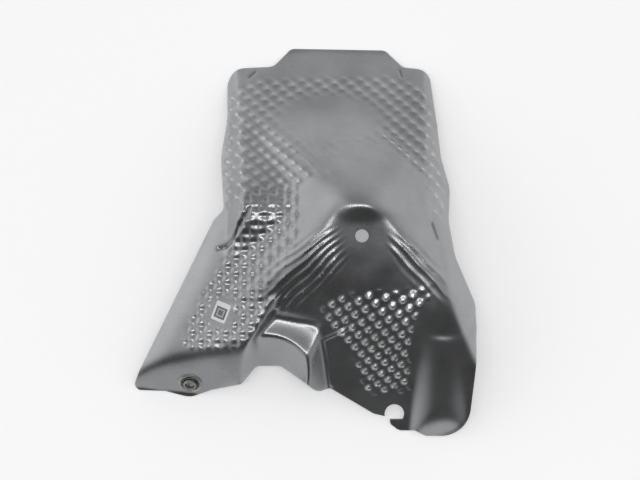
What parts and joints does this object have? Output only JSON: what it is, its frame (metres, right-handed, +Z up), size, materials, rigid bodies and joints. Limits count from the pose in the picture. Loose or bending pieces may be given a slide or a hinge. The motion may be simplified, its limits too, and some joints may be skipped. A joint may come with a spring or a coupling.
{
  "type": "heat shield",
  "caption": "Pressed sheet-metal heat shield with an embossed skin, a bolted nose, a rounded bulge, a hook slot and an arm that ends in a damped fixing eye.",
  "frame": {"origin": "on the floor under the middle of the bounding box, with the shield lying on its rim and its hollow side down", "axes": "+Y toward the plain back tab, +X toward the rounded bulge, +Z up, away from the hot side"},
  "size_m": [0.24, 0.279, 0.0776],
  "materials": {
    "sheet_metal": "satin",
    "ring_steel": "satin",
    "mesh_steel": "woven wire",
    "sleeve_steel": "satin",
    "sticker_film": "matte"
  },
  "bodies": {
    "root": {"shield_sheet": "sheet_metal", "eye_ring": "ring_steel", "mesh_washer": "mesh_steel", "spacer_sleeve": "sleeve_steel", "sticker": "sticker_film"}
  },
  "joints": []
}
